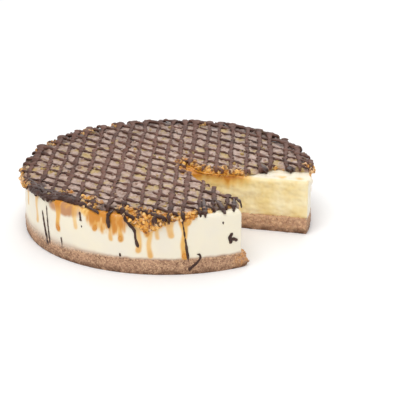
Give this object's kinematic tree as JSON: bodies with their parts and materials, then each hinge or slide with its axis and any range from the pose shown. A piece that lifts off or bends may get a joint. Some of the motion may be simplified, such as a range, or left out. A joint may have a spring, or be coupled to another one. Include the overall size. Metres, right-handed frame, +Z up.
{
  "type": "cheesecake",
  "caption": "Round baked cheesecake with a slice cut away: biscuit base, cream filling, and a nut and caramel topping under a chocolate lattice.",
  "frame": {"origin": "middle of the round underside, on the surface that the cake stands on", "axes": "+Z up through the cake; the cut-out opens towards +X and -Y, between -62 and -17 degrees from +X"},
  "size_m": [0.2525, 0.253, 0.0551],
  "materials": {
    "biscuit": "matte grainy crumb",
    "cream": "satin, torn where cut",
    "nut_caramel": "sticky gloss over rough nuts",
    "dark_chocolate": "soft gloss",
    "caramel": "clear gloss"
  },
  "bodies": {
    "root": {"biscuit_base": "biscuit", "cream_filling": "cream", "nut_topping": "nut_caramel"}
  },
  "joints": []
}
